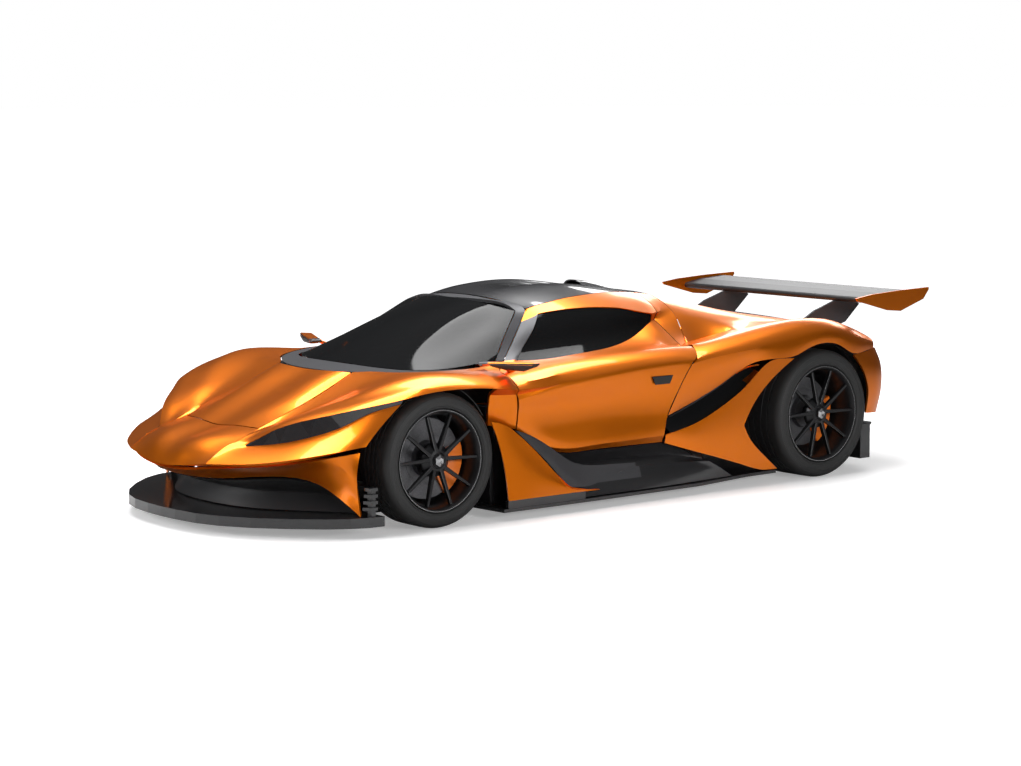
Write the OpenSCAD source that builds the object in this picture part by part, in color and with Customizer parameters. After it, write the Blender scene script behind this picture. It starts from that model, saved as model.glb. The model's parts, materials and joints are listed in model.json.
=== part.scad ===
// Mid-engined two-seat supercar with a wrap-round windscreen, upward-opening doors,
// a tall rear wing and a deep front splitter. Millimetres. +X is forward, +Y is the
// car's left and +Z is up. The origin lies on the floor, midway between the bumpers.

/* [Body] */
// Distance between the front and rear axles
wheelbase = 2700; // [2300:10:3300]
// Front axle to the tip of the splitter
front_overhang = 1050; // [900:10:1300]
// Rear axle to the trailing edge of the wing
rear_overhang = 1050; // [950:10:1300]
// Width over the rear haunches
body_w = 1984; // [1700:2:2400]
// Height of the glasshouse above the belt line
glasshouse_h = 360; // [300:5:440]
// Height of the belt line above the top of the rear tyre
belt_rise = 52; // [40:1:120]
// Wall thickness of the outer body panels
panel_t = 16; // [8:1:22]
// Thickness of a door
door_t = 42; // [30:1:60]
// Thickness of the roof
roof_t = 12; // [8:1:20]
// Thickness of the glass
glass_t = 5; // [4:0.5:8]

/* [Wheels and tyres] */
// Outer diameter of a front tyre
front_tyre_d = 686; // [600:2:824]
// Width of a front tyre
front_tyre_w = 255; // [205:5:306]
// Bead diameter of a front rim
front_rim_d = 508; // [430:1:560]
// Outer diameter of a rear tyre
rear_tyre_d = 728; // [620:2:880]
// Width of a rear tyre
rear_tyre_w = 325; // [265:5:350]
// Bead diameter of a rear rim
rear_rim_d = 533; // [450:1:600]
// How far a front tyre's outer face lies inside the body's half width
front_inset = 37; // [20:1:80]
// How far a rear tyre's outer face lies inside the body's half width
rear_inset = 6; // [4:1:60]
// Diameter of the front brake discs
front_disc_d = 390; // [320:2:400]
// Diameter of the rear brake discs
rear_disc_d = 380; // [320:2:400]

/* [Fits] */
// Gap at the shut line of a door or lid
shut_gap = 6; // [5:0.5:10]
// Joint gap between two fixed panels
seam_gap = 0.8; // [0.4:0.1:0.9]
// Radial clearance between a tyre and the rear wheel arch
arch_gap = 42; // [20:1:80]
// Clearance between a still piece and one that turns beside it
run_gap = 6; // [5:0.5:10]
// Seat between a piece and what carries it
seat = 0.3; // [0.1:0.1:0.5]

/* [Hidden] */

// ---- Frame -------------------------------------------------------------------
// The body's lines below are drawn for a wheelbase of 2700, overhangs of 1050, a
// width of 1984 and the tyre sizes above. real() carries each point to the sizes
// that are set: the overhangs and the middle stretch, the wheel arches stay whole.
mid_x = (rear_overhang - front_overhang) / 2;
front_axle_x = wheelbase / 2 + mid_x;
rear_axle_x = -wheelbase / 2 + mid_x;
half_w = body_w / 2;
front_tyre_y = half_w - front_inset - front_tyre_w / 2;
rear_tyre_y = half_w - rear_inset - rear_tyre_w / 2;
front_r = front_tyre_d / 2;
rear_r = rear_tyre_d / 2;

drawn_axle_x = 1350;
drawn_half_w = 992;
drawn_end = 2400;
drawn_belt = 780;
drawn_glasshouse = 360;
drawn_front_tyre = 686;
drawn_rear_tyre = 728;
drawn_belt_rise = 52;
arch_reach = 500;

front_lift = front_tyre_d - drawn_front_tyre;
rear_lift = rear_tyre_d - drawn_rear_tyre + belt_rise - drawn_belt_rise;

function real_x(x) = lookup(x, [
    [-drawn_end, rear_axle_x - rear_overhang],
    [-drawn_axle_x - arch_reach, rear_axle_x - arch_reach],
    [-drawn_axle_x + arch_reach, rear_axle_x + arch_reach],
    [drawn_axle_x - arch_reach, front_axle_x - arch_reach],
    [drawn_axle_x + arch_reach, front_axle_x + arch_reach],
    [drawn_end, front_axle_x + front_overhang]]);
function real_y(y) = y * half_w / drawn_half_w;
function lift_at(x) = lookup(x, [[-900, rear_lift], [900, front_lift]]);
function real_z(x, z) = z
    + lift_at(x) * lookup(z, [[100, 0], [drawn_front_tyre, 1]])
    + (glasshouse_h - drawn_glasshouse) * lookup(z, [[drawn_belt, 0], [1140, 1]]);
function real(p) = [real_x(p.x), real_y(p.y), real_z(p.x, p.z)];

// ---- Surfaces ----------------------------------------------------------------
// A panel is drawn as a net: rows of control points, each row running along the
// car. A smooth curve passes through every row and every column.
function unit(v) = v / max(norm(v), 0.000001);
function slope(P, i) = let (n = len(P) - 1)
    i == 0 ? unit(P[1] - P[0]) :
    i == n ? unit(P[n] - P[n - 1]) :
    let (a = max(norm(P[i] - P[i - 1]), 0.001), b = max(norm(P[i + 1] - P[i]), 0.001))
    ((P[i] - P[i - 1]) * b / a + (P[i + 1] - P[i]) * a / b) / (a + b);
function between(P, i, t) = let (h = norm(P[i + 1] - P[i]), u = 1 - t)
    P[i] * u * u * (1 + 2 * t) + P[i + 1] * t * t * (3 - 2 * t)
    + (slope(P, i) * u - slope(P, i + 1) * t) * t * u * h;
function curve(P, cuts) = [
    for (i = [0:len(P) - 2]) for (k = [0:cuts[i] - 1]) between(P, i, k / cuts[i]),
    P[len(P) - 1]];
function column(G, c) = [for (row = G) row[c]];
function turned(G) = [for (c = [0:len(G[0]) - 1]) column(G, c)];
function surface_of(net, across, along) = let (
    rows = [for (row = net) curve([for (p = row) real(p)], along)])
    turned([for (c = [0:len(rows[0]) - 1]) curve(column(rows, c), across)]);
function spans(cuts) = [for (i = [0:len(cuts) - 1]) for (k = [1:cuts[i]]) i];
function same(n, count) = [for (i = [1:count]) n];
function mirrored(row) = [for (p = row) [p.x, -p.y, p.z]];
function whole(half) = concat(
    [for (i = [len(half) - 1:-1:1]) mirrored(half[i])], half);

// Outward normal at each grid point, turned to face away from the car's middle.
function normals(G) = let (
    R = len(G) - 1, C = len(G[0]) - 1,
    N = [for (r = [0:R]) [for (c = [0:C]) unit(cross(
        G[r][min(c + 1, C)] - G[r][max(c - 1, 0)],
        G[min(r + 1, R)][c] - G[max(r - 1, 0)][c]))]],
    r = floor(R / 2), c = floor(C / 2),
    facing = N[r][c] * (G[r][c] - [0, 0, 300]) < 0 ? -1 : 1)
    [for (row = N) [for (n = row) n * facing]];

// The way into the panel from a border, square to that border.
function inward(G, r, c, dr, dc) = let (
    R = len(G) - 1, C = len(G[0]) - 1,
    d = G[r + dr][c + dc] - G[r][c],
    e = dr != 0 ? unit(G[r][min(c + 1, C)] - G[r][max(c - 1, 0)])
                : unit(G[min(r + 1, R)][c] - G[max(r - 1, 0)][c]))
    unit(d - (d * e) * e);
// Draws the four borders in by gap = [first row, last row, first column, last column].
function trimmed(G, gap) = let (R = len(G) - 1, C = len(G[0]) - 1)
    [for (r = [0:R]) [for (c = [0:C])
        let (a = r == 0 ? inward(G, r, c, 1, 0) : r == R ? inward(G, r, c, -1, 0) : [0, 0, 0],
             b = c == 0 ? inward(G, r, c, 0, 1) : c == C ? inward(G, r, c, 0, -1) : [0, 0, 0],
             ga = r == 0 ? gap[0] : r == R ? gap[1] : 0,
             gb = c == 0 ? gap[2] : c == C ? gap[3] : 0,
             k = min(max(a * b, -0.8), 0.8))
        G[r][c] + (a * (ga - k * gb) + b * (gb - k * ga)) / (1 - k * k)]];

// A closed solid between two grids of the same size. keep[r][c] says which cells are
// solid, so a window or a lamp is a hole in its panel.
module between_grids(outer, inner, keep) {
    R = len(outer) - 1;
    C = len(outer[0]) - 1;
    W = C + 1;
    lower = (R + 1) * W;
    function solid(r, c) = r >= 0 && c >= 0 && r < R && c < C && keep[r][c];
    function quad(a, b, c, d) = [[a, b, c], [a, c, d]];
    cells = [for (r = [0:R - 1]) for (c = [0:C - 1]) if (keep[r][c]) [r, c]];
    r0 = cells[0][0];
    c0 = cells[0][1];
    n = cross(outer[r0][c0 + 1] - outer[r0][c0], outer[r0 + 1][c0] - outer[r0][c0]);
    flip = n * (outer[r0][c0] - inner[r0][c0]) < 0;
    faces = [for (cell = cells) let (r = cell[0], c = cell[1], i = r * W + c)
        each concat(
            quad(i, i + W, i + W + 1, i + 1),
            quad(lower + i, lower + i + 1, lower + i + W + 1, lower + i + W),
            solid(r - 1, c) ? [] : quad(i, i + 1, lower + i + 1, lower + i),
            solid(r + 1, c) ? [] : quad(i + W + 1, i + W, lower + i + W, lower + i + W + 1),
            solid(r, c - 1) ? [] : quad(i + W, i, lower + i, lower + i + W),
            solid(r, c + 1) ? [] : quad(i + 1, i + W + 1, lower + i + W + 1, lower + i + 1))];
    points = [for (G = [outer, inner]) for (row = G) each row];
    polyhedron(points, flip ? [for (f = faces) [f[2], f[1], f[0]]] : faces);
}

// A panel of thickness t under the net. gap trims its borders, holes lists the net's
// spans that are left open, and its back edges are drawn in so that they never meet
// the next panel's. sunk sets the whole panel below the net, as glass sits in a frame.
// part = [first row, last row, first column, last column] takes only those spans.
edge_slant = 0.3;
// The same at a shut line, where a door or lid swings past.
shut_slant = 1.2;
function sunk_grid(G, N, depth) = [for (r = [0:len(G) - 1]) [for (c = [0:len(G[0]) - 1])
    G[r][c] - N[r][c] * depth]];
function total(list, n) = n <= 0 ? 0 : list[n - 1] + total(list, n - 1);
function sliced(G, across, along, part) = part == [] ? G : [
    for (r = [total(across, part[0]):total(across, part[1])])
    [for (c = [total(along, part[2]):total(along, part[3])]) G[r][c]]];
function cut_of(cuts, a, b) = [for (i = [a:b - 1]) cuts[i]];

module panel(net, across, along, t, gap = [0, 0, 0, 0], holes = [], sunk = 0, part = [],
        slants = same(edge_slant, 4)) {
    whole_grid = surface_of(net, across, along);
    G = sliced(whole_grid, across, along, part);
    N = sliced(normals(whole_grid), across, along, part);
    outer = trimmed(sunk_grid(G, N, sunk), gap);
    back = trimmed(sunk_grid(outer, N, t), slants * t);
    row_span = spans(part == [] ? across : cut_of(across, part[0], part[1]));
    col_span = spans(part == [] ? along : cut_of(along, part[2], part[3]));
    between_grids(outer, back, [for (i = row_span) [for (j = col_span)
        len([for (h = holes) if (h[0] == i && h[1] == j) 1]) == 0]]);
}

module both() {
    children();
    mirror([0, 1, 0]) children();
}
module side(s) {
    if (s < 0) mirror([0, 1, 0]) children();
    else children();
}

// ---- Body lines, left side -------------------------------------------------------
// Lower lip of the nose and cheek, from the centre to the front wheel arch.
lip = [[2357, 360, 356], [2270, 545, 366], [2190, 650, 378], [2085, 762, 400],
    [1965, 848, 424], [1860, 897, 441], [1791, 922, 452]];
// Side joint of the nose panel, from the lip up to the foot of the bonnet.
nose_side = [[2357, 360, 356], [2310, 358, 390], [2262, 357, 418], [2250, 356, 425],
    [2165, 352, 456], [2085, 346, 484], [2052, 342, 494], [2029, 339, 501]];
// Outer edge of the bonnet, from the nose panel back to the cowl.
bonnet_side = [[2029, 339, 501], [1960, 340, 528], [1885, 341, 556], [1790, 342, 592],
    [1680, 341, 636], [1565, 337, 686], [1446, 330, 742]];
// Front edge of the cowl, from the centre out to the foot of the screen pillar.
cowl_front = [[1500, 0, 738], [1490, 170, 739], [1446, 330, 742], [1340, 500, 748],
    [1190, 628, 752], [1040, 700, 758], [890, 722, 766], [752, 702, 780]];
// Lower edge of the windscreen, over the same run.
screen_foot = [[1300, 0, 756], [1294, 200, 755], [1268, 380, 752], [1190, 535, 750],
    [1071, 618, 752], [926, 672, 758], [782, 672, 782]];
// Front shut line of the door below the pillar, from the sill up.
door_front_low = [[829, 900, 454], [832, 916, 520], [836, 930, 575], [846, 940, 610],
    [848, 930, 636], [856, 956, 664], [845, 864, 722], [834, 770, 742], [736, 681, 780]];
// Front shut line of the door along the screen pillar, up to the roof.
door_front_high = [[736, 681, 780], [657, 632, 841], [578, 583, 900], [499, 534, 961],
    [421, 480, 1023]];

// ---- Nose, bonnet, wings -----------------------------------------------------------
nose_net = whole([
    [[2392, 0, 318], [2362, 0, 372], [2304, 0, 420], [2190, 0, 456], [2060, 0, 489]],
    [[2385, 140, 326], [2350, 150, 398], [2285, 160, 448], [2172, 166, 480], [2056, 170, 502]],
    [nose_side[0], nose_side[2], nose_side[4], nose_side[5], nose_side[7]]]);
module nose_panel() color("darkorange")
    panel(nose_net, [3, 3, 3, 3], [2, 2, 3, 3], panel_t, [seam_gap, seam_gap, 0, shut_gap] / 2);

bonnet_net = whole([
    [[2060, 0, 489], [1930, 0, 546], [1783, 0, 606], [1640, 0, 668], [1500, 0, 738]],
    [[2056, 170, 502], [1926, 212, 562], [1780, 256, 622], [1632, 292, 681], [1462, 318, 744]],
    [bonnet_side[0], bonnet_side[2] + [30, 0, -11], bonnet_side[3], bonnet_side[5] + [50, 0, -22],
        bonnet_side[6]]]);
// Bonnet hinges, under the front of the cowl; x is forwards, y is up.
bonnet_axis = real([1405, 0, 713]);
bonnet_hinge_y = 250;
lid_play = 1.5;
module bonnet_hinge() translate([bonnet_axis.x, real_y(bonnet_hinge_y), bonnet_axis.z])
    rotate([90, 0, 0]) children();
bonnet_arm = [[-7, 6], [-7, -66], [150, -66], [150, -8], [130, -14], [130, -50], [7, -50], [7, 6]];
module bonnet() color("darkorange") {
    panel(bonnet_net, [2, 4, 4, 2], same(3, 4), panel_t, same(shut_gap / 2 + lid_play, 4), [], 0, [],
        [edge_slant, edge_slant, edge_slant, shut_slant]);
    both() bonnet_hinge() hinge_arm(bonnet_arm);
}

// The wing runs from the nose panel to the door and from the lip to the bonnet.
// Rows: lip, cheek, lamp's lower edge, lamp's upper edge, shoulder, crest, valley, bonnet.
wing_net = [
    concat(lip, [[1700, 935, 458], [1500, 945, 464], [1200, 900, 470], [975, 850, 480], [829, 900, 454]]),
    [nose_side[1], [2222, 482, 402], [2120, 610, 416], [2012, 718, 443], [1890, 814, 477],
        [1787, 883, 517], [1705, 923, 544], [1600, 945, 560], [1400, 955, 570], [1200, 930, 575],
        [980, 862, 580], [838, 932, 575]],
    [nose_side[2], [2160, 418, 431], [2052, 552, 449], [1944, 668, 484], [1832, 770, 532],
        [1726, 858, 603], [1586, 933, 645], [1460, 955, 664], [1330, 962, 668], [1180, 962, 662],
        [988, 885, 640], [848, 930, 636]],
    [nose_side[3], [2156, 412, 440], [2064, 530, 518], [1978, 626, 560], [1870, 732, 594],
        [1762, 846, 630], [1577, 944, 669], [1450, 962, 690], [1300, 966, 699], [1150, 966, 695],
        [1000, 963, 682], [856, 956, 664]],
    [nose_side[4], [2076, 396, 482], [1994, 486, 545], [1890, 583, 593], [1788, 686, 630],
        [1668, 788, 674], [1504, 883, 717], [1375, 912, 738], [1245, 918, 740], [1110, 918, 731],
        [975, 912, 716], [850, 906, 700]],
    [nose_side[5], [1992, 373, 518], [1910, 454, 557], [1800, 550, 617], [1704, 636, 657],
        [1576, 732, 719], [1424, 805, 763], [1310, 828, 771], [1190, 835, 765], [1070, 840, 753],
        [950, 846, 739], [845, 864, 722]],
    [nose_side[6], [1978, 362, 510], [1902, 404, 537], [1797, 452, 579], [1687, 500, 625],
        [1566, 538, 679], [1438, 572, 736], [1335, 650, 757], [1205, 715, 760], [1075, 758, 756],
        [950, 780, 750], [834, 770, 742]],
    [nose_side[7], bonnet_side[1], bonnet_side[2], bonnet_side[3], bonnet_side[4], bonnet_side[5],
        cowl_front[2], cowl_front[3], cowl_front[4], cowl_front[5], cowl_front[6],
        [736, 684, 781]]];
wing_across = [1, 1, 1, 2, 2, 2, 2];
wing_along = [2, 2, 2, 2, 2, 2, 2, 2, 2, 2, 2];
// The lamp's opening, and the wheel arch between the cheek and the return at the door.
wing_holes = concat(
    [for (j = [1:5]) [2, j]],
    [for (i = [0:2]) for (j = [6:9]) [i, j]]);
module front_wings() color("darkorange") both()
    panel(wing_net, wing_across, wing_along, panel_t,
        [0, seam_gap / 2, seam_gap / 2, shut_gap / 2], wing_holes,
        slants = [edge_slant, edge_slant, edge_slant, shut_slant]);

lamp_depth = 34;
lamp_t = 12;
duct_t = 8;
blade_t = 10;
fin_t = 12;
splitter_t = 50;
splitter_z = 54;
slat_step = 32;
slat_t = 16;
module headlights() color("dimgray") both()
    panel(wing_net, wing_across, wing_along, lamp_depth, same(seam_gap, 4), [], 2, [2, 3, 1, 6]);

// ---- Cowl, screen, roof ----------------------------------------------------------------
// The cowl's front edge tucks in between its third and fourth rows, clear of the wing.
cowl_tuck = [7, 0, 0];
cowl_net = whole([
    [cowl_front[0], [1400, 0, 746], screen_foot[0]],
    [cowl_front[1], [1392, 190, 747], screen_foot[1]],
    [cowl_front[2] - cowl_tuck, [1355, 360, 747], screen_foot[2]],
    [cowl_front[3] - cowl_tuck, [1262, 522, 748], screen_foot[3]],
    [cowl_front[4], [1128, 624, 751], screen_foot[4]],
    [cowl_front[5], [980, 686, 757], screen_foot[5]],
    [cowl_front[7] + [60, 0, 0], [800, 690, 778], screen_foot[6]]]);
module cowl() color("#3a3a3c") {
    both() bonnet_hinge() rotate(-90) hinge_pin(20);
    panel(cowl_net, same(2, 12), [1, 1], panel_t, [seam_gap / 2, seam_gap / 2, shut_gap / 2 + 4, seam_gap / 2 + 3],
        slants = [edge_slant, edge_slant, shut_slant, shut_slant]);
}

screen_net = whole([
    [[1300, 0, 756], [1150, 0, 832], [960, 0, 918], [760, 0, 1000], [560, 0, 1064]],
    [[1268, 380, 752], [1112, 346, 825], [926, 317, 908], [732, 283, 987], [540, 246, 1052]],
    [[1130, 585, 750], [984, 532, 812], [828, 480, 877], [676, 423, 947], [512, 362, 1034]],
    [screen_foot[6], [717, 631, 839], [651, 588, 898], [572, 537, 958], [492, 483, 1018]]]);
module windscreen() color([0.05, 0.05, 0.06, 0.9])
    panel(screen_net, same(3, 6), same(3, 4), glass_t, same(seam_gap / 2 + 4, 4));

// Outer edge of the black roof, from the screen pillar back to the clamshell.
roof_edge = [[421, 480, 1023], [352, 466, 1033], [256, 459, 1047], [112, 444, 1064],
    [-67, 419, 1073], [-230, 388, 1074], [-400, 352, 1065], [-487, 335, 1056],
    [-597, 345, 1042]];
header_line = [[485, 0, 1076], [468, 245, 1062], [421, 480, 1023]];
// Screen pillars and header: outer edge next to door and roof, inner edge at the glass.
frame_outer = concat(door_front_high, [header_line[1], header_line[0]]);
frame_inner = [screen_net[6][0], screen_net[6][1], screen_net[6][2], screen_net[6][3],
    screen_net[6][4], screen_net[4][4] + [14, -130, 15], screen_net[3][4]];
frame_net = [for (row = [frame_outer, frame_inner])
    concat(row, [for (i = [5:-1:0]) [row[i].x, -row[i].y, row[i].z]])];
module windscreen_frame() color("#2b2b2d")
    panel(frame_net, [1], same(3, 12), panel_t, [seam_gap, seam_gap, shut_gap, shut_gap] / 2,
        slants = [shut_slant, edge_slant, edge_slant, edge_slant]);

// A channel runs along the middle of the roof, between two ridges, to the scoop.
roof_net = whole([
    [header_line[0], [360, 0, 1101], [220, 0, 1110], [80, 0, 1106], [-80, 0, 1088],
        [-230, 0, 1068], [-400, 0, 1053], [-487, 0, 1047], [-597, 0, 1040]],
    [[480, 100, 1074], [360, 105, 1102], [221, 110, 1112], [82, 112, 1109], [-78, 112, 1092],
        [-230, 110, 1072], [-400, 108, 1057], [-487, 106, 1050], [-597, 100, 1043]],
    [[472, 200, 1067], [362, 196, 1102], [228, 190, 1119], [88, 186, 1127], [-74, 184, 1122],
        [-230, 182, 1104], [-400, 178, 1080], [-487, 175, 1068], [-597, 172, 1053]],
    [[450, 345, 1050], [358, 338, 1076], [240, 330, 1091], [98, 322, 1101], [-70, 308, 1103],
        [-230, 290, 1094], [-400, 268, 1075], [-487, 258, 1063], [-597, 260, 1049]],
    roof_edge]);
// The scoop: an arch in the channel that opens forwards and runs out at the engine cover.
scoop_t = 6;
scoop_net = whole([
    [[-310, 0, 1119], [-400, 0, 1110], [-540, 0, 1076], [-666, 0, 1043]],
    [[-316, 48, 1112], [-400, 50, 1103], [-540, 52, 1071], [-666, 54, 1041]],
    [[-322, 80, 1092], [-400, 84, 1084], [-540, 86, 1060], [-666, 88, 1039]],
    [[-326, 90, 1057], [-400, 94, 1050], [-540, 96, 1042], [-666, 98, 1034]]]);
// Door hinges: pins under the roof's edge, on a line near it.
door_axis = [real([256, 428, 1034]), real([-400, 284, 1043])];
door_hinge_at = [0.18, 0.82];
hinge_pin_r = 5;
barrel_r = 9;
barrel_l = 26;
ear_t = 7;
// A frame on the door's hinge line, share of the way along: x is down, y is outboard.
module on_door_axis(share) {
    d = door_axis[0] - door_axis[1];
    run = norm([d.x, d.y]);
    translate(door_axis[0] - d * share) rotate([0, 90 - atan2(d.z, run), atan2(d.y, d.x)]) children();
}
// Two ears and a pin on the still side of a hinge. up is the length of the ears.
module hinge_pin(up) {
    for (m = [0, 1]) mirror([0, 0, m]) translate([-up, -barrel_r, barrel_l / 2 + seat])
        cube([up + barrel_r, 2 * barrel_r, ear_t]);
    cylinder(r = hinge_pin_r, h = barrel_l + 2 * seat + ear_t, center = true, $fn = 48);
}
// The moving side: a barrel on the pin and a bent arm, drawn as an outline.
module hinge_arm(outline) difference() {
    union() {
        cylinder(r = barrel_r, h = barrel_l, center = true, $fn = 48);
        linear_extrude(barrel_l, center = true) polygon(outline);
    }
    cylinder(r = hinge_pin_r + seat, h = barrel_l + 2, center = true, $fn = 48);
}
roof_along = [2, 2, 3, 3, 2, 2, 1, 1];
module roof_panel() color("#1b1b1d") {
    panel(roof_net, same(2, 8), roof_along, roof_t,
        [shut_gap / 2, shut_gap / 2, seam_gap / 2 + 9.5, seam_gap / 2],
        slants = [shut_slant, shut_slant, shut_slant, edge_slant]);
    panel(deck_net, same(2, 4), deck_along, roof_t,
        [seam_gap, seam_gap, seam_gap, shut_gap] / 2, [], 0, [0, 4, 0, 1]);
    panel(scoop_net, same(2, 6), same(2, 3), scoop_t);
    both() for (share = door_hinge_at) on_door_axis(share) hinge_pin(34);
    both() cover_hinge() rotate(-90) hinge_pin(18);
}

// ---- Doors -------------------------------------------------------------------------------
// Rows run from the sill up to the roof, columns from the front shut line to the rear one.
door_net = [
    [[824, 884, 448], [692, 890, 362], [575, 900, 312], [290, 908, 302], [60, 912, 301],
        [-60, 914, 300], [-120, 915, 299], [-172, 916, 298]],
    [door_front_low[0], [700, 910, 378], [585, 922, 336], [290, 935, 333], [60, 938, 336],
        [-60, 940, 338], [-120, 941, 339], [-168, 942, 340]],
    [door_front_low[1], [705, 914, 462], [560, 915, 430], [290, 918, 432], [60, 921, 438],
        [-80, 926, 436], [-145, 929, 438], [-197, 932, 441]],
    [door_front_low[2], [705, 920, 560], [555, 917, 556], [290, 919, 566], [40, 925, 576],
        [-120, 930, 560], [-205, 935, 560], [-262, 938, 560]],
    [door_front_low[3], [710, 947, 632], [560, 951, 652], [290, 956, 682], [5, 957, 706],
        [-180, 960, 716], [-280, 962, 718], [-347, 964, 716]],
    [door_front_low[4], [714, 942, 650], [560, 950, 664], [290, 953, 696], [0, 954, 721],
        [-190, 958, 728], [-300, 960, 729], [-364, 962, 729]],
    [door_front_low[5], [715, 958, 664], [560, 950, 676], [290, 945, 710], [0, 946, 735],
        [-200, 950, 742], [-320, 953, 743], [-388, 957, 741]],
    [door_front_low[6], [720, 866, 736], [560, 868, 752], [290, 868, 776], [0, 866, 794],
        [-230, 860, 802], [-370, 855, 804], [-448, 852, 803]],
    [door_front_low[7], [700, 780, 752], [545, 790, 768], [290, 797, 788], [0, 790, 802],
        [-240, 768, 803], [-390, 757, 797], [-459, 752, 790]],
    [door_front_low[8], [650, 686, 778], [540, 718, 776], [290, 742, 793], [20, 722, 812],
        [-200, 658, 848], [-392, 584, 918], [-430, 565, 925]],
    [[483, 521, 969], [376, 531, 999], [282, 543, 1010], [118, 557, 1018], [-46, 564, 1014],
        [-200, 572, 1000], [-405, 578, 960], [-461, 556, 962]],
    [roof_edge[0], roof_edge[1], roof_edge[2], roof_edge[3], roof_edge[4], roof_edge[5],
        roof_edge[6], roof_edge[7]]];
door_across = [1, 2, 2, 2, 1, 1, 2, 1, 1, 3, 2];
door_along = [2, 2, 3, 3, 2, 2, 1];
// How far the back of the door is drawn in under the roof, as a share of its thickness.
roof_slant = 0.8;
window_rows = [9, 10];
window_cols = [1, 6];
// Each arm drops from its pin, passes under the roof's edge and meets the door.
door_arms = [
    [[0, -6], [60, -6], [60, 118], [46, 118], [46, 6], [0, 6]],
    [[0, -6], [60, -6], [60, 166], [30, 166], [30, 142], [46, 142], [46, 6], [0, 6]]];
// Mirror: a flat head with its inner end turned down, on a short stalk.
module mirror_shape() {
    module ball(p, r) translate(real(p)) sphere(r, $fn = 24);
    hull() {
        ball([950, 754, 787], 9);
        ball([828, 1038, 800], 8);
        ball([905, 742, 788], 9);
        ball([778, 1015, 796], 9);
    }
    hull() {
        ball([925, 815, 786], 8);
        ball([830, 1034, 790], 8);
        ball([880, 890, 768], 8);
        ball([845, 985, 768], 8);
        ball([862, 800, 784], 8);
        ball([785, 1010, 788], 8);
        ball([820, 870, 770], 8);
        ball([790, 960, 772], 8);
    }
    hull() {
        ball([948, 756, 785], 9);
        ball([950, 770, 779], 7);
        ball([915, 752, 781], 8);
    }
    hull() {
        ball([865, 815, 780], 9);
        ball([790, 800, 744], 10);
        ball([765, 800, 742], 10);
    }
}
module door(s) side(s) color("darkorange") {
    for (i = [0, 1]) on_door_axis(door_hinge_at[i]) hinge_arm(door_arms[i]);
    mirror_shape();
    panel(door_net, door_across, door_along, door_t, same(shut_gap, 4) / 2,
        [for (j = [window_cols[0]:window_cols[1] - 1]) [window_rows[0], j]],
        slants = [edge_slant, roof_slant, edge_slant, edge_slant]);
}
module left_door() door(1);
module right_door() door(-1);
module door_glass(s) side(s) color([0.05, 0.05, 0.06, 0.9])
    panel(door_net, door_across, door_along, glass_t, same(seam_gap / 2 + 1, 4), [], 6,
        concat(window_rows, window_cols));
module left_door_glass() door_glass(1);
module right_door_glass() door_glass(-1);

// ---- Rear clamshell --------------------------------------------------------------------
arch_r = rear_r + arch_gap;
// A point on the rear wheel arch, deg from straight up towards the tail.
function arch(deg, y) = [-drawn_axle_x - arch_r * sin(deg), y,
    rear_r + arch_r * cos(deg) - rear_lift];
shell_net = [
    [[-199, 932, 443], [-340, 912, 478], [-600, 932, 583], [-790, 964, 690], [-925, 990, 706],
        [-1109, 991, 707], arch(-17, 990), arch(0, 988), arch(17, 984), arch(37, 974),
        [-1735, 940, 694], [-1850, 895, 702]],
    [[-262, 938, 560], [-400, 942, 600], [-610, 957, 655], [-790, 976, 722], [-925, 990, 744],
        [-1109, 993, 758], [-1229, 993, 792], [-1350, 990, 808], [-1470, 985, 798],
        [-1610, 972, 752], [-1740, 937, 735], [-1860, 888, 722]],
    [[-347, 964, 716], [-460, 970, 735], [-620, 978, 754], [-800, 984, 768], [-935, 986, 782],
        [-1110, 985, 806], [-1228, 982, 832], [-1350, 978, 842], [-1475, 970, 832],
        [-1615, 952, 797], [-1750, 915, 768], [-1868, 872, 740]],
    [[-388, 957, 741], [-500, 950, 768], [-640, 945, 792], [-810, 945, 816], [-940, 945, 836],
        [-1112, 940, 864], [-1230, 935, 881], [-1350, 930, 885], [-1478, 920, 874],
        [-1618, 898, 838], [-1755, 868, 800], [-1885, 835, 752]],
    [[-448, 852, 803], [-560, 856, 820], [-690, 858, 838], [-830, 856, 858], [-950, 852, 874],
        [-1115, 848, 894], [-1232, 845, 902], [-1352, 842, 901], [-1480, 835, 890],
        [-1625, 815, 858], [-1775, 785, 812], [-1925, 755, 764]],
    [[-545, 700, 800], [-625, 682, 804], [-730, 678, 818], [-845, 688, 840], [-960, 700, 858],
        [-1118, 712, 874], [-1235, 714, 878], [-1355, 712, 873], [-1482, 705, 860],
        [-1635, 690, 830], [-1800, 665, 793], [-1975, 630, 764]],
    [[-588, 580, 926], [-660, 588, 918], [-740, 598, 905], [-850, 612, 889], [-965, 620, 879],
        [-1120, 622, 874], [-1238, 618, 867], [-1358, 610, 857], [-1485, 600, 844],
        [-1640, 580, 820], [-1815, 555, 793], [-2000, 520, 770]],
    [[-594, 465, 1002], [-668, 478, 985], [-748, 495, 966], [-858, 512, 944], [-968, 522, 925],
        [-1121, 530, 904], [-1239, 532, 888], [-1359, 528, 874], [-1487, 522, 857],
        [-1645, 508, 832], [-1825, 492, 801], [-2012, 470, 774]],
    [roof_edge[8], [-670, 362, 1027], [-750, 380, 1008], [-860, 400, 980], [-970, 415, 954],
        [-1122, 428, 923], [-1240, 432, 903], [-1360, 432, 885], [-1488, 430, 867],
        [-1650, 428, 842], [-1835, 425, 809], [-2025, 415, 778]]];
shell_across = [2, 2, 2, 2, 1, 1, 3, 2];
shell_along = [2, 2, 2, 2, 2, 2, 2, 2, 2, 2, 2];
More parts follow.
